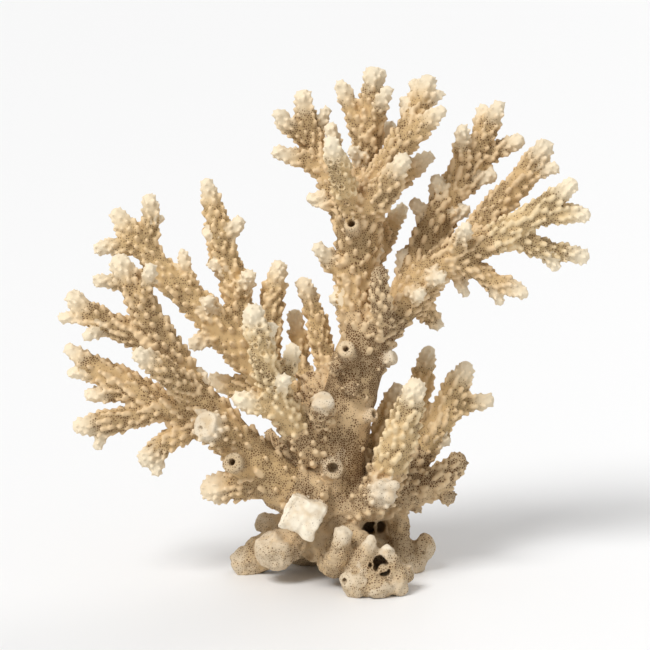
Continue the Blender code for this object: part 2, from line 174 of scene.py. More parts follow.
masses += [
    ((-19, -14, 13.5), (8.4, 9, 7.6)),
    ((21, 13, 15), (9, 6, 12)),
    ((40.5, 4, 10.5), (4.6, 5, 5.4)),
    ((13.5, -32.5, 5), (7, 6.5, 5.5)),
    ((21.5, -34, 3.5), (6.5, 5.5, 4)),
    ((27.5, -26.5, 43), (2.6, 2.2, 2.4)),
    ((22.5, -26, 43.5), (2.4, 2, 2.2)),
    ((21.5, -26, 38.5), (2.5, 2, 2.2)),
    ((26.5, -26, 38), (2.3, 2, 2)),
]
# The squarish broken stub, and the two peaks of the front foot
crags += [
    ((-6.5, -15, 30.5), 8.5, (-8.4, -34.5, 31.8), 10.3, 4, 20),
    ((16.5, -28.5, 8), 8, (18.6, -31, 23.5), 1.8, 9, 0),
    ((26.5, -28, 6), 7, (25.2, -31, 19.5), 1.8, 9, 0),
]
# The dark gap behind the front foot, the hollow in the foot with its pits, and two side pits
holes += [
    ((19, 6, 17.9), (18.8, -8, 20.4), 3.8, 23),
    ((23, 6, 17.9), (23.2, -8, 20.4), 3.4, 22),
    ((22, -24, 13.5), (22.6, -38, 12.3), 3.6, 13),
    ((22.8, -25, 10.5), (24.6, -38, 10), 2.6, 11),
    ((19, -26, 13), (18.5, -38, 12.5), 1.3, 8),
    ((9, -26, 8), (8, -40, 6.5), 1.2, 7),
    ((-18, -14, 13), (-23, -26, 10), 1.2, 5.5),
    ((38, 4, 9), (44, -8, 9), 1.3, 9),
]

# Left arm
# A stout low limb that forks in three, with rings and stubs where twigs broke off.
branch(
    "left_arm",
    [
        (-2, -8, 34, 11), (-15, -12, 39, 10.5), (-27, -14, 50, 9.5), (-38, -16, 62, 8.5),
        (-47, -18, 73, 8), (-53, -19, 81.5, 6.4),
    ],
    carrier="trunk",
    cut=15,
    end="fork",
    cups=0.55,
)
twigs(
    "left_arm",
    [
        [(-53, -20, 80, 5.5), (-58, -28, 86, 5), (-63, -35, 92, 4.5), (-71, -40, 98, 3.5)],
        [(-46, -16, 68, 5.5), (-61, -20, 60, 4.5), (-70, -22, 53, 4)],
        [(-49, -18, 76, 4), (-49, -16, 87, 2)],
        [(-65, -21, 57, 3.5), (-66, -23, 48, 2.5)],
        [(-25, -13, 46, 8), (-36, -14, 40, 6), (-44, -15, 39, 5.5)],
    ],
)
broken_stubs("left_arm", [[(-38, -18, 62, 8), (-46, -30, 68, 6)]], cups=0.9, end="broken")
holes.append(((-46.5, -27, 67.5), (-50.5, -35.5, 66.3), 1.6, 7))
open_ring("left_arm", [(-31, -16, 48, 5.5), (-35.5, -29, 53, 4.5)], 1.4, 4)
branch(
    "left_arm_upper",
    [
        (-53, -19, 80, 6.5), (-60, -20, 94, 6.5), (-68, -22, 109, 6), (-74, -24, 121, 5),
        (-79, -26, 132, 4),
    ],
    carrier="left_arm",
    cut=15.5,
)
twigs("left_arm_upper", [[(-72, -23, 116, 4), (-68, -30, 126, 3), (-67, -34, 131, 2.5)]])
branch(
    "left_arm_finger",
    [(-62, -20, 97, 6), (-78, -20, 104, 5), (-90, -20, 110, 4.5), (-98, -20, 117, 3.5)],
    carrier="left_arm_upper",
    cut=17.5,
)
twigs(
    "left_arm_finger",
    [
        [(-88, -20, 109, 3.5), (-102, -20, 109, 2.5)],
        [(-84, -20, 107, 3.5), (-92, -26, 103, 2.5)],
    ],
)
branch(
    "left_arm_lower",
    [(-48, -17, 71, 7), (-63, -18, 74, 5.9), (-76, -18, 81, 5.5), (-90, -18, 89, 4.5), (-100, -18, 96, 3)],
    carrier="left_arm",
    cut=12.5,
)
twigs(
    "left_arm_lower",
    [
        [(-84, -18, 85, 3.5), (-99, -18, 87, 2.5)],
        [(-74, -18, 79, 4), (-92, -19, 78, 3)],
        [(-64, -18, 74, 5.5), (-76, -20, 69, 4.5), (-88, -22, 67, 4.5), (-96, -22, 66, 3.5)],
        [(-86, -22, 67, 3.5), (-89, -22, 58, 2.5)],
    ],
)

# Front branch
# A pale branch that stands forward of the trunk, crowded with open cups.
branch(
    "front_branch",
    [(-4, -7, 52, 9), (-13, -16, 68, 6.5), (-20, -24, 82, 5), (-24, -32, 98, 5), (-27, -37, 114, 4)],
    carrier="trunk",
    cut=17,
    style="cup",
)
twigs(
    "front_branch",
    [
        [(-15, -19, 72, 5.5), (-26, -24, 76, 4.5), (-33, -27, 78, 3.5)],
        [(-18, -22, 80, 4), (-15, -32, 87, 2.5)],
        [(-19, -23, 82, 4.5), (-13, -18, 91, 3.5), (-12, -16, 96, 3)],
        [(-25, -33, 102, 3.5), (-20, -30, 107, 2.5)],
    ],
    style="cup",
)

# Left fan
# The long back limb on the left with its tall spire. It lies deeper and is tanner.
branch(
    "left_fan",
    [
        (-1, 6, 58, 7.5), (-14, 11, 70, 7.5), (-25, 13, 82, 7.5), (-37, 13, 94, 7),
        (-48, 13, 106, 6.5), (-58, 13, 115, 6), (-68, 13, 126, 5), (-76, 14, 136, 4.5),
        (-83, 14, 145, 3.5),
    ],
    carrier="trunk",
    cut=18,
)
twigs(
    "left_fan",
    [
        [(-72, 14, 131, 4.5), (-70, 16, 141, 3.5), (-70, 17, 151, 3)],
        [(-74, 14, 133, 4.5), (-83, 13, 133, 3.5), (-90, 12, 132, 3)],
        [(-66, 13, 123, 4.5), (-74, 12, 119, 3.5), (-82, 12, 118, 3), (-91, 12, 119, 3)],
        [(-41, 13, 98, 4.5), (-52, 12, 93, 3.5)],
        [(-21, 13, 78, 5), (-36, 22, 73, 4.5), (-45, 25, 75, 3.5)],
        [(-24, 14, 81, 5.5), (-22, 15, 97, 5), (-21, 15, 111, 4.5), (-18, 14, 124, 3.5)],
        [(-47, 12, 105, 5), (-53, 27, 108, 4.5), (-56, 35, 116, 3.5)],
        [(-56, 14, 114, 4.5), (-56, 14, 125, 3), (-57, 14, 130, 2)],
        [(-47, 12, 105, 4.5), (-46, 5, 112, 2.5)],
        [(-36, 14, 92, 4), (-34, 23, 81, 2.5)],
        [(-70, 16, 142, 2), (-65, 16, 144, 1.5)],
    ],
)
branch(
    "left_spire",
    [
        (-28, 14, 85, 7), (-33, 18, 104, 6), (-38, 19, 122, 5.5), (-42, 19, 137, 5),
        (-45, 19, 149, 4), (-47, 18, 157, 3),
    ],
    carrier="left_fan",
    cut=24,
)
twigs(
    "left_spire",
    [
        [(-41, 19, 134, 4), (-34, 16, 142, 3)],
        [(-34, 18, 112, 4), (-30, 9, 121, 3)],
        [(-42, 19, 135, 3.5), (-48, 18, 138, 2)],
        [(-38, 19, 121, 3.5), (-45, 17, 125, 2.5)],
    ],
)

# Inner twigs
# Two thin twigs that show between the left fan and the trunk.
branch(
    "inner_twig_tall",
    [(7, 6, 73, 5), (1, 14, 86, 4.5), (-3, 18, 102, 4), (-8, 20, 116, 3.5)],
    carrier="trunk",
    cut=14,
)
branch(
    "inner_twig_short",
    [(2, 5, 71, 5), (-8, 18, 80, 3.5), (-10, 24, 91, 3.5), (-12, 27, 102, 3)],
    carrier="trunk",
    cut=16,
)

# Crown
# The upright stem and the fingers that spread from its head.
branch(
    "crown_stem",
    [(17, 0, 95, 8), (12, 1, 111, 7), (13, 2, 127, 7.5), (14, 2, 138, 9), (14, 2, 150, 9)],
    carrier="trunk",
    cut=15,
    end="fork",
)
twigs(
    "crown_stem",
    [
        [(14, 2, 123, 6), (23, 20, 133, 4.5), (32, 31, 145, 3)],
        [(13, 1, 121, 5.5), (4, -1, 128, 4), (-2, -3, 134, 3)],
        [(15, -1, 148, 7), (24, -13, 159, 5.5), (31, -19, 171, 3.5)],
        [(16, 3, 149, 6.5), (31, 12, 161, 4.5), (42, 16, 168, 3)],
        [(14, 3, 138, 6.5), (15, 18, 148, 5), (16, 27, 160, 4.5), (15, 33, 172, 3.5)],
        [(13, 1, 116, 4.5), (4, 0, 113, 2.5)],
        [(14, 3, 127, 4), (23, 6, 132, 2)],
        [(10, 4, 151, 5), (-5, 7, 153, 2.5)],
    ],
)
open_ring("crown_stem", [(13, 0, 138, 5), (11.2, -10, 144.4, 3.5)], 1.5, 4)
branch(
    "crown_left",
    [(12, 4, 143, 7.5), (5, 9, 157, 6.5), (-2, 12, 170, 5), (-6, 12, 180, 4.5), (-8, 12, 193, 3.5)],
    carrier="crown_stem",
    cut=19,
)
twigs(
    "crown_left",
    [
        [(-5, 12, 176, 4.5), (-13, 10, 181, 3.5), (-18, 9, 186, 3)],
        [(0, 11, 166, 5), (-11, 9, 169, 3.5), (-18, 8, 171, 3)],
        [(1, 10, 164, 4), (4, 6, 174, 3), (3, 6, 181, 3)],
        [(-5, 12, 177, 4), (-1, 14, 183, 3), (1, 14, 187, 2.5)],
    ],
)
branch(
    "crown_front",
    [(12, -2, 147, 6), (7, -16, 164, 4.5), (3, -24, 178, 3.5)],
    carrier="crown_stem",
    cut=15,
    style="cup",
)
branch(
    "crown_middle",
    [(15, 2, 148, 7), (16, 5, 161, 5.5), (18, 5, 175, 5), (19, 4, 190, 4.5), (19, 3, 203, 3.5)],
    carrier="crown_stem",
    cut=17,
)
twigs(
    "crown_middle",
    [
        [(18, 5, 170, 4.5), (11, 4, 189, 3.5), (7, 4, 198, 3)],
        [(19, 5, 181, 4), (23, -3, 192, 3), (25, -5, 197, 2.5)],
        [(17, 4, 175, 3.5), (23, 13, 176, 3), (27, 16, 180, 3)],
        [(19, 4, 196, 3.5), (23, 4, 203, 2.5)],
        [(17, 5, 168, 4), (11, -1, 173, 2)],
    ],
)
branch(
    "crown_right",
    [(15, 0, 148, 7), (22, -4, 162, 5.5), (29, -4, 175, 4.5), (36, -1, 187, 4.5), (41, 2, 200, 3.5)],
    carrier="crown_stem",
    cut=20,
)
twigs(
    "crown_right",
    [
        [(37, 0, 189, 3.5), (36, 5, 199, 2.5)],
        [(38, 0, 192, 3.5), (46, 2, 195, 2.5)],
        [(28, -4, 172, 5), (38, -7, 182, 4), (46, -8, 189, 3)],
        [(35, -1, 186, 3.5), (31, 1, 193, 2)],
    ],
)

# Right arm
# The long limb that reaches to the upper right, palest at its outer tips.
branch(
    "right_arm",
    [(19, 0, 99, 9.5), (30, -1, 110, 8), (40, -3, 121, 7.5), (51, -5, 131, 6.5), (61, -6, 136, 6)],
    carrier="trunk",
    cut=15,
    end="fork",
)
twigs(
    "right_arm",
    [
        [(50, -5, 130, 5.5), (57, -6, 128, 4.5), (67, -6, 122, 3.5), (79, -8, 117, 3)],
        [(50, -5, 129, 4.5), (56, -18, 145, 2.5)],
        [(37, -2, 118, 5), (42, 10, 106, 4), (46, 18, 100, 3)],
        [(36, -1, 117, 4.5), (33, 5, 123, 3.5), (32, 7, 130, 3)],
        [(49, -6, 130, 5), (56, 10, 130, 4.5), (59, 24, 135, 3.5)],
        [(50, -4, 129, 4), (57, 0, 115, 2)],
        [(34, -2, 115, 4), (38, -17, 118, 2.5)],
        [(42, -3, 123, 4), (46, -15, 124, 2.5)],
        [(63, -6, 125, 3), (70, -6, 113, 2)],
    ],
)
branch(
    "right_arm_upper",
    [
        (36, 0, 117, 8), (40, 7, 129, 7.5), (47, 10, 146, 7), (53, 13, 157, 5.5),
        (58, 14, 167, 5), (65, 14, 179, 4.5), (70, 14, 189, 3),
    ],
    carrier="right_arm",
    cut=17,
)
twigs(
    "right_arm_upper",
    [
        [(63, 15, 175, 3.5), (64, 19, 187, 3)],
        [(56, 13, 163, 4), (55, 7, 180, 3)],
        [(57, 14, 163, 4.5), (68, 15, 170, 3.5), (78, 16, 175, 3)],
        [(52, 12, 154, 4.5), (61, 12, 159, 3), (67, 12, 161, 3)],
        [(49, 11, 149, 4.5), (45, 9, 160, 3)],
        [(47, 10, 145, 4), (57, 8, 148, 2.5)],
        [(46, 9, 142, 4), (36, 12, 150, 2.5)],
    ],
)
branch(
    "right_arm_high",
    [(56, -5, 134, 5.5), (62, 2, 141, 5.5), (69, 6, 149, 5.5), (79, 8, 160, 5), (88, 8, 173, 4)],
    carrier="right_arm",
    cut=19.5,
)
twigs("right_arm_high", [[(79, 8, 160, 4), (87, 7, 164, 3), (92, 6, 165, 2.5)]])
branch(
    "right_arm_tip",
    [(59, -6, 135, 6), (71, -7, 140, 6), (81, -8, 148, 4.5), (90, -9, 154, 4), (97, -10, 160, 3.5)],
    carrier="right_arm",
    cut=9,
)
twigs(
    "right_arm_tip",
    [
        [(80, -8, 147, 4.5), (95, -8, 149, 4), (103, -8, 148, 3)],
        [(72, -7, 141, 5), (88, -4, 134, 4), (103, -3, 131, 3)],
        [(86, -4, 135, 3.5), (92, -4, 127, 2.5)],
    ],
)

# Low right group
# The branch and the spires that rise from the trunk's low right fork.
branch(
    "low_right_branch",
    [
        (12, 0, 27, 11), (23, 5, 31, 9.5), (31, 8, 38, 8), (39, 11, 48, 6.5),
        (48, 14, 62, 5.5), (54, 16, 74, 5), (58, 17, 82, 3.5),
    ],
    carrier="trunk",
    cut=39,
)
twigs(
    "low_right_branch",
    [
        [(48, 14, 62, 4.5), (59, 17, 67, 3.5), (67, 18, 68, 3.5)],
        [(42, 12, 52, 4), (50, 13, 53, 2.5)],
    ],
)
branch(
    "low_right_front_spire",
    [(21, -3, 33, 7.5), (27, -12, 50, 7), (32, -18, 66, 6), (36, -22, 81, 4.5)],
    carrier="trunk",
    cut=18,
)
branch(
    "low_right_back_spire",
    [(29, 8, 36, 6), (34, 22, 49, 5.5), (39, 28, 68, 5), (43, 31, 86, 3.5)],
    carrier="trunk",
    cut=20,
)
branch(
    "low_right_back_twig",
    [(15, 6, 33, 7), (22, 15, 50, 5), (27, 19, 64, 4.5), (30, 21, 72, 3.5)],
    carrier="trunk",
    cut=18,
)

# Back branches
# Three branches behind the trunk, which the front view hides.
branch(
    "back_branch",
    [(10, 4, 74, 8), (14, 20, 88, 6.5), (15, 31, 104, 5.5), (14, 37, 119, 4)],
    carrier="trunk",
    cut=18,
)
branch(
    "back_branch_left",
    [(-1, 4, 47, 8.5), (-10, 21, 54, 6.5), (-20, 32, 65, 5), (-27, 37, 80, 4)],
    carrier="trunk",
    cut=19,
)
branch(
    "back_branch_right",
    [(6, 4, 46, 8), (9, 20, 54, 5.5), (13, 31, 64, 4.5), (16, 36, 76, 4)],
    carrier="trunk",
    cut=18,
)

# Core
# All branches grown together: tubes and lumps fused by remeshing, smoothed so that the forks
# fillet, then swollen a little by slow noise and made craggy where the holdfast broke.
CORE_VOXEL = 0.9
# The core lies this far inside the courses' radii, because the cups and the noise add to it
CORE_INSET = 0.35
TUBE_SIDES_LEVEL = 4
WELD_DISTANCE = 0.01
DOME_ANGLES = np.radians([20, 40, 60, 76])
# Past the end of a broken twig: how far on, and how wide, both in end radii
BROKEN_RINGS = ((0.45, 0.92), (0.6, 0.5))
# Past the end of a ring's stump: how far on in mm, and how wide in end radii
COLLAR_RINGS = ((0.8, 1.12), (1.9, 0.95))
# The slow noise that swells each branch: wave in mm, height in mm and offset
SWELLS = ((7.0, 0.55, (0, 0, 0)), (2.8, 0.28, (5, 1, 3)))
# The holdfast is fully craggy below the first height and smooth above the second
CRAGGY_BELOW = 30.0
CRAGGY_END = 46.0
CRAGGY_WAVE = 8.0
CRAGGY_HEIGHT = 2.5
# The turbulence is about this high on average, so the craggy stone keeps its size
CRAGGY_MEAN = 0.42
CRAGGY_DETAIL = 3
PITTED_WAVE = 1.9
PITTED_HEIGHT = 0.5
# A rough broken face: where it lies and how far round it reaches, in end radii
FACE_AT = 0.22
FACE_REACH = 1.5
FACE_WAVE = 2.2
FACE_HEIGHT = 0.7
# Sharp rock: the grain it is remeshed in, and its roughness as wave and height in mm
ROCK_VOXEL = 0.7
ROCK_WAVES = ((6.0, 1.6), (2.2, 0.8))
ROCK_SEED = 5


def dome_rings(branch_noted):
    """The samples of a branch, with a dome, a broken face or a collar after the last one."""
    course = branch_noted["course"]
    rings = [(Vector(sample[1:4]), sample[4] - CORE_INSET) for sample in course]
    middle, radius = rings[-1]
    ahead = (rings[-1][0] - rings[-3][0]).normalized()
    if branch_noted["end"] in ("tip", "fork"):
        for angle in DOME_ANGLES:
            rings.append((middle + ahead * radius * math.sin(angle), radius * math.cos(angle)))
    if branch_noted["end"] in ("broken", "worn"):
        for further, width in BROKEN_RINGS:
            rings.append((middle + ahead * radius * further, radius * width))
    if branch_noted["end"] == "collar":
        for further, width in COLLAR_RINGS:
            rings.append((middle + ahead * further, radius * width))
    return rings


def linked(name, data):
    """A new object of the data in the scene, at the origin."""
    obj = bpy.data.objects.new(name, data)
    bpy.context.scene.collection.objects.link(obj)
    return obj


def tubes_object(name, ring_lists):
    """One object with a closed tube through each list of rings."""
    curve = bpy.data.curves.new(name, "CURVE")
    curve.dimensions = "3D"
    curve.bevel_depth = MM
    curve.bevel_resolution = TUBE_SIDES_LEVEL
    curve.use_fill_caps = True
    for rings in ring_lists:
        spline = curve.splines.new("POLY")
        spline.points.add(len(rings) - 1)
        for point, (middle, radius) in zip(spline.points, rings):
            point.co = (*(middle * MM), 1)
            point.radius = radius
    guide = linked(name + "_guide", curve)
    mesh = bpy.data.meshes.new_from_object(guide.evaluated_get(bpy.context.evaluated_depsgraph_get()))
    bpy.data.objects.remove(guide)
    shape = bmesh.new()
    shape.from_mesh(mesh)
    bmesh.ops.remove_doubles(shape, verts=shape.verts, dist=WELD_DISTANCE * MM)
    bmesh.ops.recalc_face_normals(shape, faces=shape.faces)
    shape.to_mesh(mesh)
    shape.free()
    return linked(name, mesh)


def applied(obj):
    """The object's mesh with its modifiers applied. The object is then removed."""
    bpy.context.view_layer.update()
    mesh = bpy.data.meshes.new_from_object(obj.evaluated_get(bpy.context.evaluated_depsgraph_get()))
    bpy.data.objects.remove(obj)
    return mesh


def add_remesh(obj, voxel, smoothing, rounds):
    remesh = obj.modifiers.new("grown_together", "REMESH")
    remesh.mode = "VOXEL"
    remesh.voxel_size = voxel * MM
    remesh.use_smooth_shade = True
    smooth = obj.modifiers.new("fillets", "SMOOTH")
    smooth.factor = smoothing
    smooth.iterations = rounds


def with_boolean(mesh, operation, other):
    """The mesh joined with the other object, or cut by it. The other object is then removed.

    The solver is the one that takes tubes which cross each other.
    """
    obj = linked(mesh.name, mesh)
    boolean = obj.modifiers.new(operation.lower(), "BOOLEAN")
    boolean.operation = operation
    boolean.solver = "MANIFOLD"
    boolean.object = other
    result = applied(obj)
    bpy.data.objects.remove(other)
    return result


def surface_tree(mesh):
    return BVHTree.FromPolygons(
        [vertex.co for vertex in mesh.vertices], [face.vertices for face in mesh.polygons]
    )


def coordinates(mesh):
    points = np.empty(len(mesh.vertices) * 3, np.float32)
    mesh.vertices.foreach_get("co", points)
    return points.reshape(-1, 3).astype(float)


def put_coordinates(mesh, points):
    mesh.vertices.foreach_set("co", points.astype(np.float32).ravel())
    mesh.update()


grown = tubes_object("grown_tubes", [dome_rings(noted) for noted in branches])
lump_shape = bmesh.new()
lump_shape.from_mesh(grown.data)
for middle, radii in masses:
    place = Matrix.Translation((Vector(middle) + MIDDLE) * MM)
    bmesh.ops.create_icosphere(
        lump_shape, subdivisions=3, radius=MM, matrix=place @ Matrix.Diagonal((*radii, 1))
    )
lump_shape.to_mesh(grown.data)
lump_shape.free()
add_remesh(grown, CORE_VOXEL, smoothing=0.5, rounds=4)
core = applied(grown)


def swelling(place):
    """How far the slow noise moves a point outward, in mm."""
    swell = sum(
        height * noise.noise(place / (wave * MM) + Vector(offset)) for wave, height, offset in SWELLS
    )
    craggy = (CRAGGY_END - place.z / MM) / (CRAGGY_END - CRAGGY_BELOW)
    craggy = min(max(craggy, 0.0), 1.0)
    if craggy:
        rough = noise.turbulence(place / (CRAGGY_WAVE * MM), CRAGGY_DETAIL, True)
        swell += craggy * CRAGGY_HEIGHT * (CRAGGY_MEAN - rough)
        swell += craggy * PITTED_HEIGHT * noise.noise(place / (PITTED_WAVE * MM))
    return swell


points = coordinates(core)
normals = np.array([tuple(vertex.normal) for vertex in core.vertices])
swell = np.array([swelling(Vector(place)) for place in points])
points += normals * swell[:, None] * MM
# Past a broken end the stone is pressed back to a rough face
for noted in branches:
    if noted["end"] != "broken":
        continue
    end = noted["course"][-1, 1:4]
    ahead = end - noted["course"][-4, 1:4]
    ahead /= np.linalg.norm(ahead)
    away = points / MM - end
    along = away @ ahead
    end_radius = noted["course"][-1, 4]
    near_end = np.linalg.norm(away, axis=1) < FACE_REACH * end_radius
    for index in np.nonzero(near_end & (along > 0))[0]:
        place = Vector(points[index])
        face = FACE_AT * end_radius + FACE_HEIGHT * noise.noise(place / (FACE_WAVE * MM))
        if along[index] > face:
            points[index] -= ahead * (along[index] - face) * MM
put_coordinates(core, points)

# The sharp rock is joined on after the smoothing, so that it keeps its edges
crag_shape = bmesh.new()
for foot, foot_radius, top, top_radius, sides, turn in crags:
    way = Vector(top) - Vector(foot)
    lean = way.to_track_quat("Z", "Y").to_matrix().to_4x4()
    middle = (Vector(foot) + Vector(top)) / 2 + MIDDLE
    turned = Matrix.Rotation(math.radians(turn), 4, "Z")
    bmesh.ops.create_cone(
        crag_shape,
        cap_ends=True,
        segments=sides,
        radius1=foot_radius * MM,
        radius2=top_radius * MM,
        depth=way.length * MM,
        matrix=Matrix.Translation(middle * MM) @ lean @ turned,
    )
bmesh.ops.triangulate(crag_shape, faces=crag_shape.faces)
crag_mesh = bpy.data.meshes.new("crags")
crag_shape.to_mesh(crag_mesh)
crag_shape.free()
crag_object = linked("crags", crag_mesh)
add_remesh(crag_object, ROCK_VOXEL, smoothing=0.5, rounds=2)
crag_mesh = applied(crag_object)
points = coordinates(crag_mesh)
# noise_vector takes its offsets from the clock unless it is seeded
noise.seed_set(ROCK_SEED)
for index, place in enumerate(points):
    for wave, height in ROCK_WAVES:
        push = noise.noise_vector(Vector(place) / (wave * MM))
        points[index] += np.array(push) * height * MM
put_coordinates(crag_mesh, points)
uncut = with_boolean(core, "UNION", linked("crags", crag_mesh))
uncut_tree = surface_tree(uncut)

# A hole narrows to its bottom and flares outside the skin
hole_rings = []
for inner, mouth, radius, depth in holes:
    inner, mouth = Vector(inner) + MIDDLE, Vector(mouth) + MIDDLE
    ahead = (mouth - inner).normalized()
    hole_rings.append([
        (mouth - ahead * depth, radius * 0.5),
        (mouth - ahead * depth * 0.6, radius * 0.95),
        (mouth - ahead * 0.5, radius * 0.9),
        (mouth + ahead * 2, radius * 1.1),
        (mouth + ahead * 5, radius * 1.8),
    ])
core = with_boolean(uncut, "DIFFERENCE", tubes_object("hole_cutter", hole_rings))

# The flat cut on which the coral rests
ground = bmesh.new()
ground.from_mesh(core)
bmesh.ops.bisect_plane(
    ground,
    geom=[*ground.verts, *ground.edges, *ground.faces],
    plane_co=(0, 0, 0),
    plane_no=(0, 0, 1),
    clear_inner=True,
)
bmesh.ops.holes_fill(ground, edges=[edge for edge in ground.edges if edge.is_boundary], sides=0)
ground.to_mesh(core)
ground.free()

# Cups
# The coral's animals each built one small limestone cup. They stand in rows round each twig and
# lean to its tip like saw teeth. Most are worn shut, and a few in front are open.
CUP_SPACING = 3.4
# Cups stand further apart on thick branches, by this share for each mm over a thin radius
SPACING_GROWTH = 0.11
THIN_RADIUS = 5
# The part of a square of the spacing that one cup fills, as cups stand in a spiral
CUP_FILL = 0.87
# No cup stands closer to another than this share of the spacing
LEAST_GAP = 0.7
# A cup is left out where the core is further off in mm, or faces another way than the branch
REACH_TO_CORE = 1.3
FACES_OUT = 0.55
CUP_SEED = 7
CUP_SIDES = 10
# How deep a cup's foot goes under the skin
CUP_ROOT = 1
# Open cups stand in this stretch from a tip, and this share of the cups there is open
OPEN_FROM = 8
OPEN_TO = 32
OPEN_SHARE = 0.45
OPEN_LEAN = 0.3
CUP_LEAN = math.radians(50)
GOLDEN_ANGLE = math.radians(137.508)
# How far over a tip's dome the cups go on
CUPPED_DOME = math.radians(58)
# Cups keep this far off the mouth of a hole
HOLE_MARGIN = 1.2


def cup_template(name, foot, lip, height, mouth, mouth_depth):
    """One cup on its axis z, from under the skin to its lip. Sizes are radii and heights in mm."""
    shape = bmesh.new()
    bmesh.ops.create_cone(
        shape,
        cap_ends=True,
        segments=CUP_SIDES,
        radius1=foot * MM,
        radius2=lip * MM,
        depth=(height + CUP_ROOT) * MM,
    )
    bmesh.ops.translate(shape, verts=shape.verts, vec=(0, 0, (height - CUP_ROOT) / 2 * MM))
    top = max(shape.faces, key=lambda face: face.calc_center_median().z)
    bmesh.ops.inset_region(shape, faces=[top], thickness=(lip - mouth) * MM, depth=0)
    bmesh.ops.translate(shape, verts=top.verts, vec=(0, 0, -mouth_depth * MM))
    mesh = bpy.data.meshes.new(name)
    shape.to_mesh(mesh)
    shape.free()
    return mesh


worn_cup = cup_template("worn_cup", foot=1.45, lip=0.72, height=2.1, mouth=0.3, mouth_depth=0.2)
open_cup = cup_template("open_cup", foot=1.6, lip=1.45, height=1.5, mouth=0.85, mouth_depth=1.9)
core_tree = surface_tree(core)
# Any direction that no branch follows, to count the angle round a branch from
SIDEWAYS = Vector((0.31, 0.87, 0.38))


def turned_about(course, distance, angle):
    """The middle, radius, way ahead and outward direction at a distance along a course."""
    x, y, z, radius = (np.interp(distance, course[:, 0], course[:, column]) for column in range(1, 5))
    behind, before = (
        Vector([np.interp(at, course[:, 0], course[:, column]) for column in range(1, 4)])
        for at in (min(distance, course[-1, 0]) - 0.5, min(distance, course[-1, 0]) + 0.5)
    )
    ahead = (before - behind).normalized()
    side = ahead.cross(SIDEWAYS).normalized()
    outward = Matrix.Rotation(angle, 3, ahead) @ side
    return Vector((x, y, z)), radius, ahead, outward


def toward_tip(to_tip, at_tip, gain, reach):
    """A share that is at_tip at the tip and gain more from the reach in mm on."""
    return at_tip + gain * min(to_tip / reach, 1)


def place_cups():
    """Where each cup stands: its foot, axis, size and whether it is open."""
    chance = random.Random(CUP_SEED)
    taken = {}
    placed = []
    for noted in branches:
        if not noted["cups"]:
            continue
        course = noted["course"]
        distance = 1.0
        angle = chance.uniform(0, 6)
        end_radius = course[-1, 4]
        stop = course[-1, 0] + (CUPPED_DOME * end_radius if noted["end"] == "tip" else 0)
        while distance < stop:
            middle, radius, ahead, outward = turned_about(course, distance, angle)
            over = max(distance - course[-1, 0], 0) / end_radius
            outward = outward * math.cos(over) + ahead * math.sin(over)
            to_tip = max(course[-1, 0] + end_radius - distance, 0)
            closer = toward_tip(to_tip, at_tip=0.68, gain=0.32, reach=9)
            wider = 1 + SPACING_GROWTH * max(radius - THIN_RADIUS, 0)
            spacing = CUP_SPACING / math.sqrt(noted["cups"]) * wider
            ring = max(radius * math.cos(over), 0.8)
            step = CUP_FILL * (spacing * closer) ** 2 / (2 * math.pi * ring)
            distance += step * chance.uniform(0.8, 1.2)
            angle += GOLDEN_ANGLE + chance.uniform(-0.25, 0.25)
            place = (middle + outward * radius) * MM
            found, normal, _, gap = core_tree.find_nearest(place)
            if gap > REACH_TO_CORE * MM or normal.dot(outward) < FACES_OUT:
                continue
            here = place / MM - MIDDLE
            if any((Vector(mouth) - here).length < wide + HOLE_MARGIN for _, mouth, wide, _ in holes):
                continue
            key = tuple(int(value // (spacing * MM)) for value in found)
            near = [
                other
                for i in (-1, 0, 1)
                for j in (-1, 0, 1)
                for k in (-1, 0, 1)
                for other in taken.get((key[0] + i, key[1] + j, key[2] + k), ())
            ]
            if any((other - found).length < LEAST_GAP * spacing * closer * MM for other in near):
                continue
            taken.setdefault(key, []).append(found.copy())
            size = chance.uniform(0.75, 1.2) * toward_tip(to_tip, at_tip=0.45, gain=0.55, reach=10)
            # Thicker branches bear larger cups
            size *= min(0.76 + 0.05 * radius, 1.2)
            open_from = OPEN_FROM if noted["end"] == "tip" else 0
            may_open = noted["style"] == "cup" and open_from < to_tip < OPEN_TO
            opened = may_open and chance.random() < OPEN_SHARE
            lean = CUP_LEAN * chance.uniform(0.75, 1.15) * (OPEN_LEAN if opened else 1)
            axis = (normal * math.cos(lean) + ahead * math.sin(lean)).normalized()
            placed.append((found, axis, size, opened))
    return placed


def cups_standing(template, places):
    """One bmesh with the template set at each place."""
    standing = bmesh.new()
    for found, axis, size, _ in places:
        cup = template.copy()
        turn = axis.to_track_quat("Z", "Y").to_matrix().to_4x4()
        cup.transform(Matrix.Translation(found) @ turn @ Matrix.Scale(size, 4))
        standing.from_mesh(cup)
        bpy.data.meshes.remove(cup)
    return standing


cups = place_cups()

# Skin
# Core and cups fused into one fine skin by a second remeshing, so that each cup grows out of its
# branch without a seam. The smoothing is slight, and the lips of the open cups stay.
SKIN_VOXEL = 0.5
whole = cups_standing(worn_cup, [cup for cup in cups if not cup[3]])
worn_mesh = bpy.data.meshes.new("worn_cups")
whole.to_mesh(worn_mesh)
whole.free()
whole = cups_standing(open_cup, [cup for cup in cups if cup[3]])
whole.from_mesh(worn_mesh)
whole.from_mesh(core)
skin_mesh = bpy.data.meshes.new("skin")
whole.to_mesh(skin_mesh)
whole.free()
skin_object = linked("skin", skin_mesh)
add_remesh(skin_object, SKIN_VOXEL, smoothing=0.5, rounds=1)
skin = applied(skin_object)
points = coordinates(skin)
points[:, 2] = np.maximum(points[:, 2], 0)
put_coordinates(skin, points)

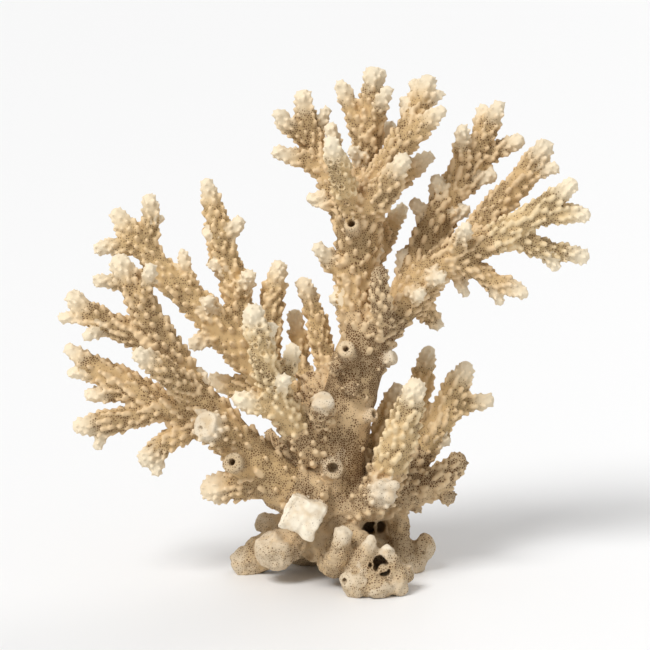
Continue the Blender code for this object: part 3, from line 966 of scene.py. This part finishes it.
# Parting
# Each face of the skin belongs to the piece of the nearest branch, beyond a flat cut across it
# at the fork. Each point takes its height over the core and its closeness to a tip or a break.
piece_names = sorted(frame["nodes"])
# Points round each sample of a course, to which the skin's points are matched
RING_POINTS = 8
# Height over the core at which a point counts as the top of a cup
RELIEF_FULL = 1.5
# How far from a tip, and from a broken end, the stone is paler
TIP_REACH = 11.0
BREAK_REACH = 3.5
# The short fingers of the trunk are hardly paler than it
TRUNK_TIP_SHARE = 0.4
PALENESS = {"broken": 0.6, "worn": 0.65, "collar": 0.25}
# How far under the uncut skin the painted shade on the wall of a hole is at its darkest
DARK_DEPTH = 5.0
# The painted shade in a hole begins this far under the uncut skin
DARK_FROM = 0.6
# How pale the sharp broken rock is, from this far past its top radius, over this width
CRAG_PALENESS = 0.9
CRAG_PALE_REACH = 1.5
CRAG_PALE_BLEND = 2
# The breaks of the holdfast have darkened again: between these heights, their share of the pale
DARKENED_HEIGHTS = (16, 30)
DARKENED_SHARES = (0.45, 1)

ring_tree = KDTree(sum(len(noted["course"]) * RING_POINTS for noted in branches))
ring_facts = []
for noted in branches:
    course = noted["course"]
    for sample in course:
        for turn in range(RING_POINTS):
            angle = turn * 2 * math.pi / RING_POINTS
            middle, radius, ahead, outward = turned_about(course, sample[0], angle)
            ring_tree.insert((middle + outward * radius) * MM, len(ring_facts))
            left = course[-1, 0] - sample[0]
            to_tip = left + course[-1, 4]
            tip = math.exp(-((to_tip / TIP_REACH) ** 2)) if noted["end"] == "tip" else 0
            if noted["piece"] == "trunk":
                tip *= TRUNK_TIP_SHARE
            broken = PALENESS.get(noted["end"], 0) * math.exp(-((left / BREAK_REACH) ** 2))
            ring_facts.append(
                (
                    piece_names.index(noted["piece"]),
                    piece_names.index(noted["carrier"]),
                    sample[0] - noted["cut"],
                    *middle,
                    *ahead,
                    tip,
                    broken,
                )
            )
ring_tree.balance()
ring_facts = np.array(ring_facts)

core_rings = np.array([ring_tree.find(face.center)[1] for face in core.polygons])
relief = np.empty(len(points))
nearest_ring = np.empty(len(points), int)
for number, place in enumerate(points):
    _, _, face, gap = core_tree.find_nearest(place)
    relief[number] = gap
    nearest_ring[number] = core_rings[face]
relief = np.clip(relief / (RELIEF_FULL * MM), 0, 1)
facts = ring_facts[nearest_ring]
pale = facts[:, 10] * np.interp(points[:, 2] / MM, DARKENED_HEIGHTS, DARKENED_SHARES)
for _, _, top, top_radius, _, _ in crags:
    to_top = np.linalg.norm(points / MM - np.array(Vector(top) + MIDDLE), axis=1)
    on_crag = np.clip((top_radius + CRAG_PALE_REACH - to_top) / CRAG_PALE_BLEND, 0, 1)
    pale = np.maximum(pale, CRAG_PALENESS * on_crag)
# Painted shade in the holes: how far each point lies under the uncut skin, as a share of the darkest depth
deep = np.zeros(len(points))
for _, mouth, radius, depth in holes:
    to_mouth = np.linalg.norm(points / MM - np.array(Vector(mouth) + MIDDLE), axis=1)
    for number in np.nonzero(to_mouth < depth + 2 * radius)[0]:
        found, normal, _, gap = uncut_tree.find_nearest(points[number])
        if normal.dot(Vector(points[number]) - found) < 0:
            deep[number] = min(max(gap / MM - DARK_FROM, 0) / DARK_DEPTH, 1)

beyond = facts[:, 2] + ((points / MM - facts[:, 3:6]) * facts[:, 6:9]).sum(axis=1)
labels = np.where(beyond > 0, facts[:, 0], facts[:, 1]).astype(int)
face_corners = np.empty(len(skin.loops), np.int32)
skin.loops.foreach_get("vertex_index", face_corners)
face_corners = face_corners.reshape(-1, 4)
face_labels = labels[face_corners[:, 0]]


def attribute(mesh, name, values):
    mesh.attributes.new(name, "FLOAT", "POINT").data.foreach_set("value", values.astype(np.float32))


# Colour and finish
# Bare limestone like a fine net: pale walls round dark pores, thickest in the valleys between
# the cups. It is cream at the tips and whiter where it broke, and its holes are painted dark as shade.
PORE_WIDTH = 0.9
PORE_DARK = (0.40, 0.28, 0.17)
GRAIN_WIDTH = 0.7


def linear(red, green, blue):
    """A colour as it is seen on a screen, as the light it reflects."""
    return (*(((value + 0.055) / 1.055) ** 2.4 for value in (red, green, blue)), 1)


def ranged(tree, value, low, high, out_low=0.0, out_high=1.0):
    """A node in the tree that takes the value from its range to another."""
    node = tree.nodes.new("ShaderNodeMapRange")
    for name, end in (("From Min", low), ("From Max", high), ("To Min", out_low), ("To Max", out_high)):
        node.inputs[name].default_value = end
    tree.links.new(value, node.inputs["Value"])
    return node


def pored_skin_group():
    """Darkens and dents the skin in a net of small pores, as thick as the pore share says."""
    group = bpy.data.node_groups.new("pored_skin", "ShaderNodeTree")
    for name, kind in (("Colour", "NodeSocketColor"), ("Pore share", "NodeSocketFloat")):
        group.interface.new_socket(name, in_out="INPUT", socket_type=kind)
    for name, kind in (("Colour", "NodeSocketColor"), ("Height", "NodeSocketFloat")):
        group.interface.new_socket(name, in_out="OUTPUT", socket_type=kind)
    nodes, links = group.nodes, group.links
    inside = nodes.new("NodeGroupInput")
    outside = nodes.new("NodeGroupOutput")
    place = nodes.new("ShaderNodeTexCoord")
    cells = nodes.new("ShaderNodeTexVoronoi")
    cells.feature = "DISTANCE_TO_EDGE"
    cells.inputs["Scale"].default_value = 1 / (PORE_WIDTH * MM)
    cells.inputs["Randomness"].default_value = 0.9
    # The wall between two pores, in shares of the pore width: thin where the pores are thick
    wall = ranged(group, inside.outputs["Pore share"], 0, 1, 0.5, 0.05)
    clear = nodes.new("ShaderNodeMath")
    clear.operation = "SUBTRACT"
    pit = ranged(group, clear.outputs[0], 0, 0.14)
    pit.interpolation_type = "SMOOTHSTEP"
    # Sparse pores are also fainter
    clarity = ranged(group, inside.outputs["Pore share"], 0.2, 0.9, 0.3, 1)
    darkness = nodes.new("ShaderNodeMath")
    darkness.operation = "MULTIPLY"
    dark = nodes.new("ShaderNodeMix")
    dark.data_type = "RGBA"
    dark.inputs["B"].default_value = linear(*PORE_DARK)
    grain = nodes.new("ShaderNodeTexNoise")
    grain.inputs["Scale"].default_value = 1 / (GRAIN_WIDTH * MM)
    grain.inputs["Detail"].default_value = 2
    # The bump's height: pores go in, and a fine grain lies over everything
    height = nodes.new("ShaderNodeMath")
    height.operation = "MULTIPLY_ADD"
    height.inputs[1].default_value = -1
    roughened = nodes.new("ShaderNodeMath")
    roughened.operation = "MULTIPLY"
    roughened.inputs[1].default_value = 0.4
    links.new(place.outputs["Object"], cells.inputs["Vector"])
    links.new(place.outputs["Object"], grain.inputs["Vector"])
    links.new(cells.outputs["Distance"], clear.inputs[0])
    links.new(wall.outputs["Result"], clear.inputs[1])
    links.new(pit.outputs["Result"], darkness.inputs[0])
    links.new(clarity.outputs["Result"], darkness.inputs[1])
    links.new(darkness.outputs[0], dark.inputs["Factor"])
    links.new(inside.outputs["Colour"], dark.inputs["A"])
    links.new(grain.outputs["Fac"], roughened.inputs[0])
    links.new(pit.outputs["Result"], height.inputs[0])
    links.new(roughened.outputs[0], height.inputs[2])
    links.new(dark.outputs["Result"], outside.inputs["Colour"])
    links.new(height.outputs[0], outside.inputs["Height"])
    return group


pored_skin = pored_skin_group()
TIP_CREAM = linear(0.95, 0.90, 0.80)
FRESH_BREAK = linear(0.94, 0.90, 0.82)
FOOT_CREAM = linear(0.75, 0.66, 0.53)
HOLE_SHADE = linear(0.27, 0.20, 0.13)
# Between these heights the cream of the holdfast fades out
FOOT_FADE = (24 * MM, 46 * MM)
# How dark the patches of the valleys are, partly stain and partly painted shade
STAIN_AND_SHADE = 0.68


def limestone(name, valley, bead, tip_share, pores):
    """One finish: the colours of valleys and cup tops, how pale tips are, and how thick pores are."""
    material = bpy.data.materials.new(name)
    material.use_nodes = True
    nodes, links = material.node_tree.nodes, material.node_tree.links
    shader = nodes["Principled BSDF"]
    shader.inputs["Roughness"].default_value = 0.85
    shader.inputs["Specular IOR Level"].default_value = 0.25

    def value_of(name):
        node = nodes.new("ShaderNodeAttribute")
        node.attribute_name = name
        return node.outputs["Fac"]

    def mixed(factor, first, second):
        node = nodes.new("ShaderNodeMix")
        node.data_type = "RGBA"
        links.new(factor, node.inputs["Factor"])
        for socket, colour in (("A", first), ("B", second)):
            if isinstance(colour, tuple):
                node.inputs[socket].default_value = colour
            else:
                links.new(colour, node.inputs[socket])
        return node.outputs["Result"]

    def ramped(factor, low, high, out_low=0.0, out_high=1.0):
        return ranged(material.node_tree, factor, low, high, out_low, out_high).outputs["Result"]

    def joined(operation, first, second):
        node = nodes.new("ShaderNodeMath")
        node.operation = operation
        links.new(first, node.inputs[0])
        links.new(second, node.inputs[1])
        return node.outputs[0]

    place = nodes.new("ShaderNodeTexCoord")

    def drifting(width, detail):
        node = nodes.new("ShaderNodeTexNoise")
        node.inputs["Scale"].default_value = 1 / (width * MM)
        node.inputs["Detail"].default_value = detail
        links.new(place.outputs["Object"], node.inputs["Vector"])
        return node.outputs["Fac"]

    slow = drifting(width=16, detail=3)
    quick = drifting(width=4, detail=2)
    split = nodes.new("ShaderNodeSeparateXYZ")
    links.new(place.outputs["Object"], split.inputs[0])

    # Colour: valleys darker in patches, partly stain and partly painted shade, cream on the holdfast,
    # lighter cups, pale tips and breaks, and painted shade in the holes
    valley_stain_and_shade = tuple(value * STAIN_AND_SHADE for value in valley[:3]) + (1,)
    colour = mixed(ramped(slow, 0.4, 0.62), valley, valley_stain_and_shade)
    low = joined("MULTIPLY", ramped(split.outputs["Z"], *FOOT_FADE, 1, 0), ramped(quick, 0.3, 0.6))
    colour = mixed(low, colour, FOOT_CREAM)
    colour = mixed(ramped(value_of("relief"), 0.1, 0.8), colour, bead)
    colour = mixed(ramped(value_of("tip"), 0.3, 0.95, 0, tip_share), colour, TIP_CREAM)
    whitened = joined("MULTIPLY", value_of("pale"), ramped(quick, 0.3, 0.6, 0.45, 1))
    colour = mixed(whitened, colour, FRESH_BREAK)
    # Painted shade: the deeper a point lies in a hole, the nearer its colour comes to the dark brown
    colour = mixed(ramped(value_of("deep"), 0, 1, 0, 0.92), colour, HOLE_SHADE)

    # Pores: in patches, fewer on the cups, at the tips, on the breaks and on the holdfast
    share = joined(
        "MULTIPLY",
        ramped(slow, 0.36, 0.5, 0.55, 1),
        ramped(quick, 0.3, 0.5, 0.8 * pores, pores),
    )
    share = joined("MULTIPLY", share, ramped(value_of("relief"), 0.3, 0.9, 1, 0))
    share = joined("MULTIPLY", share, ramped(value_of("tip"), 0.45, 0.8, 1, 0))
    share = joined("MULTIPLY", share, ramped(value_of("pale"), 0.1, 0.6, 1, 0.55))
    share = joined("MULTIPLY", share, ramped(low, 0.2, 0.9, 1, 0.7))
    skin_group = nodes.new("ShaderNodeGroup")
    skin_group.node_tree = pored_skin
    links.new(colour, skin_group.inputs["Colour"])
    links.new(share, skin_group.inputs["Pore share"])
    bump = nodes.new("ShaderNodeBump")
    bump.inputs["Distance"].default_value = 0.3 * MM
    bump.inputs["Strength"].default_value = 0.7
    links.new(skin_group.outputs["Height"], bump.inputs["Height"])
    links.new(skin_group.outputs["Colour"], shader.inputs["Base Color"])
    links.new(bump.outputs["Normal"], shader.inputs["Normal"])
    return material


# For each slot: the colour of the valleys, of the cup tops, how pale its tips are, and its pores
FINISHES = {
    "bone": ((0.81, 0.70, 0.54), (0.84, 0.74, 0.59), 0.65, 1.0),
    "sand": ((0.78, 0.66, 0.48), (0.86, 0.75, 0.59), 0.75, 0.85),
    "tan": ((0.82, 0.70, 0.51), (0.89, 0.78, 0.61), 0.75, 0.75),
    "cream": ((0.81, 0.70, 0.52), (0.89, 0.80, 0.64), 0.85, 0.82),
}
finishes = {
    slot: limestone(slot + "_limestone", linear(*valley), linear(*bead), tip_share, pores)
    for slot, (valley, bead, tip_share, pores) in FINISHES.items()
}
slots = {entry["node"]: entry["material_slot"] for entry in frame["record"]["subparts"]}

# Pieces
# Each part of the skin becomes a closed piece that stands for its CAD node. The trunk's skin is
# two pieces, cut flat at this height, so that neither holds too many faces.
HOLDFAST_TOP = 41.0


def cut_at_holdfast(shape, keep_below):
    bmesh.ops.bisect_plane(
        shape,
        geom=[*shape.verts, *shape.edges, *shape.faces],
        plane_co=(0, 0, HOLDFAST_TOP * MM),
        plane_no=(0, 0, 1),
        clear_outer=keep_below,
        clear_inner=not keep_below,
    )


def close_rims(shape):
    """Closes a piece where it was cut. The rim stays sharp, so that the skin keeps its shading."""
    rim = [edge for edge in shape.edges if edge.is_boundary]
    for edge in rim:
        edge.smooth = False
    bmesh.ops.holes_fill(shape, edges=rim, sides=0)


def add_piece(name, shape, node):
    mesh = bpy.data.meshes.new(name)
    shape.to_mesh(mesh)
    shape.free()
    mesh.materials.append(finishes[slots[node]])
    piece = linked(name, mesh)
    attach(piece, "root")
    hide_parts(node)


for number, name in enumerate(piece_names):
    chosen = face_corners[face_labels == number]
    used, corners = np.unique(chosen, return_inverse=True)
    part_mesh = bpy.data.meshes.new(name + "_part")
    part_mesh.from_pydata(points[used], [], corners.reshape(-1, 4))
    attribute(part_mesh, "relief", relief[used])
    attribute(part_mesh, "tip", facts[used, 9])
    attribute(part_mesh, "pale", pale[used])
    attribute(part_mesh, "deep", deep[used])
    part_mesh.shade_smooth()
    part = bmesh.new()
    part.from_mesh(part_mesh)
    bpy.data.meshes.remove(part_mesh)
    close_rims(part)
    if name == "trunk":
        foot = part.copy()
        cut_at_holdfast(foot, keep_below=True)
        close_rims(foot)
        add_piece("holdfast_coral", foot, name)
        cut_at_holdfast(part, keep_below=False)
        close_rims(part)
    add_piece(name + "_coral", part, name)

# Floor, light and camera
# A plain white floor, one large soft light from the upper left and front with a weak one from
# behind, and a long lens.
FLOOR_SIZE = 12
FLOOR_WHITE = (0.86, 0.86, 0.86, 1)
floor_mesh = bpy.data.meshes.new("floor")
floor_shape = bmesh.new()
bmesh.ops.create_grid(floor_shape, x_segments=1, y_segments=1, size=FLOOR_SIZE)
floor_shape.to_mesh(floor_mesh)
floor_shape.free()
floor = linked("floor", floor_mesh)
floor_material = bpy.data.materials.new("white_sweep")
floor_material.use_nodes = True
floor_shader = floor_material.node_tree.nodes["Principled BSDF"]
floor_shader.inputs["Base Color"].default_value = FLOOR_WHITE
floor_mesh.materials.append(floor_material)

VIEW_ELEVATION = math.radians(10)
# In metres, so that the photo's pixel is 0.4 mm at the stem
VIEW_DISTANCE = 1.083
LENS = 150
view_target = (Vector((0.6, 0, 102.7)) + MIDDLE) * MM
camera = linked("camera", bpy.data.cameras.new("camera"))
camera.data.lens = LENS
camera.location = view_target + VIEW_DISTANCE * Vector(
    (0, -math.cos(VIEW_ELEVATION), math.sin(VIEW_ELEVATION))
)
camera.rotation_euler = (math.pi / 2 - VIEW_ELEVATION, 0, 0)
bpy.context.scene.camera = camera


def soft_light(name, shines_along, strength, width):
    """A wide, even light, so that the floor has one tone and shadows are soft."""
    light = linked(name, bpy.data.lights.new(name, "SUN"))
    light.data.energy = strength
    light.data.angle = math.radians(width)
    light.rotation_euler = Vector(shines_along).to_track_quat("-Z", "Y").to_euler()


soft_light("key_light", (0.5, 0.62, -0.85), strength=2.5, width=24)
soft_light("back_light", (-0.5, -0.75, -0.6), strength=0.7, width=40)
world = bpy.data.worlds.new("studio")
world.use_nodes = True
world.node_tree.nodes["Background"].inputs["Color"].default_value = (1, 1, 1, 1)
world.node_tree.nodes["Background"].inputs["Strength"].default_value = 0.5
bpy.context.scene.world = world
# Plain display, so that the stone keeps its colour in the bright parts
bpy.context.scene.view_settings.view_transform = "Standard"
